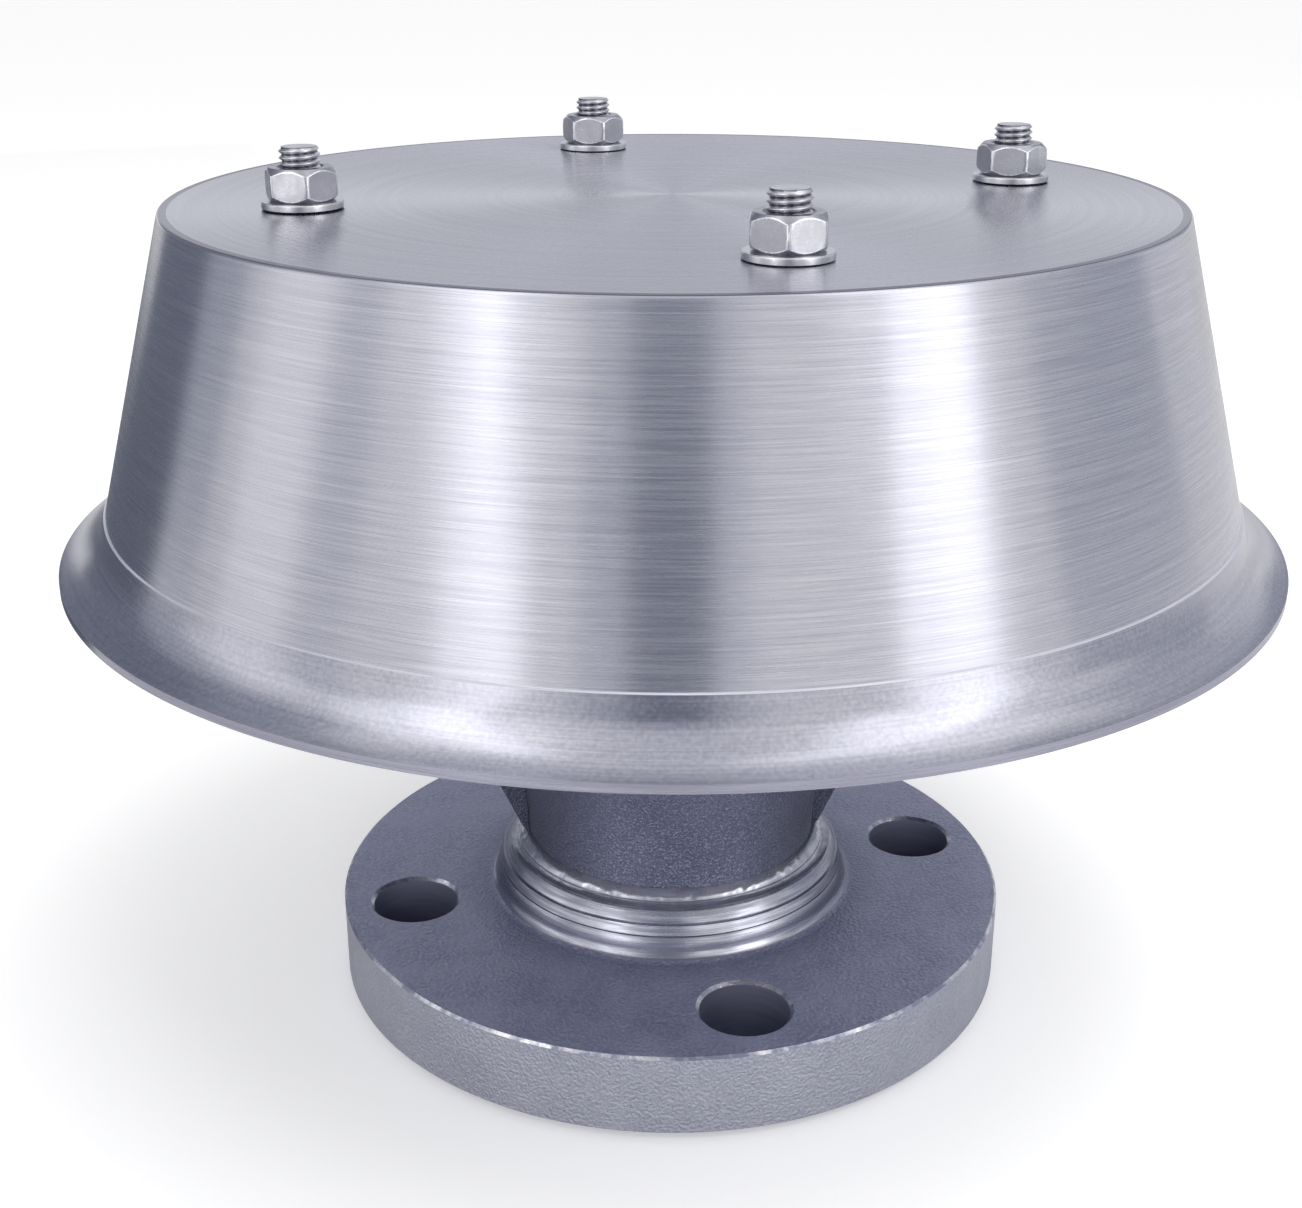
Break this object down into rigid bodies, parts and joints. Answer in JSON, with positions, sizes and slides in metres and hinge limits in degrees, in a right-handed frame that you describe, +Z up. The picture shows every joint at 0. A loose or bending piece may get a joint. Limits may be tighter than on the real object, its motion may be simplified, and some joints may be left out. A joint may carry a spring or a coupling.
{
  "type": "flame arrester",
  "caption": "End-of-line flame arrester: flanged neck opening into a bell that holds crimped ribbon discs, under a spun cone-shaped weather hood held by studs and hexagon nuts.",
  "frame": {"origin": "centre of the pipe flange's raised face, on the axis", "axes": "+Z up along the axis, from the flange to the hood; +X and +Y pass through flange holes and hood studs"},
  "size_m": [0.2574, 0.2574, 0.189],
  "materials": {
    "brushed_hood": "spun stainless sheet, brushed round, satin rim",
    "flange_steel": "dark satin forged steel with bright turned hub",
    "cast_body": "dark, finely rough casting",
    "weld_bead": "bright lumpy bead",
    "fasteners": "bright plated M8 parts",
    "cassette_steel": "turned stainless steel",
    "ribbon": "thin rolled foil",
    "gasket": "matt graphite sheet"
  },
  "bodies": {
    "base": {"pipe_flange": "flange_steel", "flange_weld": "weld_bead", "seal_weld": "weld_bead", "inlet_bell": "cast_body", "gusset_plates": "cast_body", "hood_studs": "fasteners", "stud_lower_washers": "fasteners", "stud_lower_nuts": "fasteners", "lower_gasket": "gasket"},
    "cassette": {"cassette_ring": "cassette_steel", "lower_grid": "cassette_steel", "lower_ribbon_disc": "ribbon", "disc_spacer": "cassette_steel", "upper_ribbon_disc": "ribbon", "upper_grid": "cassette_steel", "ribbon_core": "cassette_steel", "centre_bolt": "fasteners", "centre_washers": "fasteners", "centre_nut": "fasteners"},
    "clamp": {"clamp_ring": "cassette_steel", "upper_gasket": "gasket", "spacer_sleeves": "fasteners"},
    "hood": {"weather_hood": "brushed_hood"},
    "washer_1": {"hood_washer_1": "fasteners"},
    "nut_1": {"hood_nut_1": "fasteners"},
    "washer_2": {"hood_washer_2": "fasteners"},
    "nut_2": {"hood_nut_2": "fasteners"},
    "washer_3": {"hood_washer_3": "fasteners"},
    "nut_3": {"hood_nut_3": "fasteners"},
    "washer_4": {"hood_washer_4": "fasteners"},
    "nut_4": {"hood_nut_4": "fasteners"}
  },
  "joints": [
    {"name": "cassette_lift", "type": "slide", "parent": "base", "child": "cassette", "axis": [0, 0, 1], "range_m": [0, 0.1]},
    {"name": "clamp_lift", "type": "slide", "parent": "cassette", "child": "clamp", "axis": [0, 0, 1], "range_m": [0, 0.06]},
    {"name": "hood_lift", "type": "slide", "parent": "clamp", "child": "hood", "axis": [0, 0, 1], "range_m": [0, 0.085]},
    {"name": "nut_1_rise", "type": "slide", "parent": "hood", "child": "washer_1", "axis": [0, 0, 1], "range_m": [0, 0.01126]},
    {"name": "nut_1_turn", "type": "hinge", "parent": "washer_1", "child": "nut_1", "pos_m": [0.075, 0, 0.1803], "axis": [0, 0, 1], "range_deg": [0, 3240]},
    {"name": "nut_2_rise", "type": "slide", "parent": "hood", "child": "washer_2", "axis": [0, 0, 1], "range_m": [0, 0.01126]},
    {"name": "nut_2_turn", "type": "hinge", "parent": "washer_2", "child": "nut_2", "pos_m": [0, 0.075, 0.1803], "axis": [0, 0, 1], "range_deg": [0, 3240]},
    {"name": "nut_3_rise", "type": "slide", "parent": "hood", "child": "washer_3", "axis": [0, 0, 1], "range_m": [0, 0.01126]},
    {"name": "nut_3_turn", "type": "hinge", "parent": "washer_3", "child": "nut_3", "pos_m": [-0.075, 0, 0.1803], "axis": [0, 0, 1], "range_deg": [0, 3240]},
    {"name": "nut_4_rise", "type": "slide", "parent": "hood", "child": "washer_4", "axis": [0, 0, 1], "range_m": [0, 0.01126]},
    {"name": "nut_4_turn", "type": "hinge", "parent": "washer_4", "child": "nut_4", "pos_m": [0, -0.075, 0.1803], "axis": [0, 0, 1], "range_deg": [0, 3240]}
  ],
  "couplings": [
    {"joint": "nut_1_rise", "follows": "nut_1_turn", "m_per_rad": 0.00019894},
    {"joint": "nut_2_rise", "follows": "nut_2_turn", "m_per_rad": 0.00019894},
    {"joint": "nut_3_rise", "follows": "nut_3_turn", "m_per_rad": 0.00019894},
    {"joint": "nut_4_rise", "follows": "nut_4_turn", "m_per_rad": 0.00019894}
  ]
}
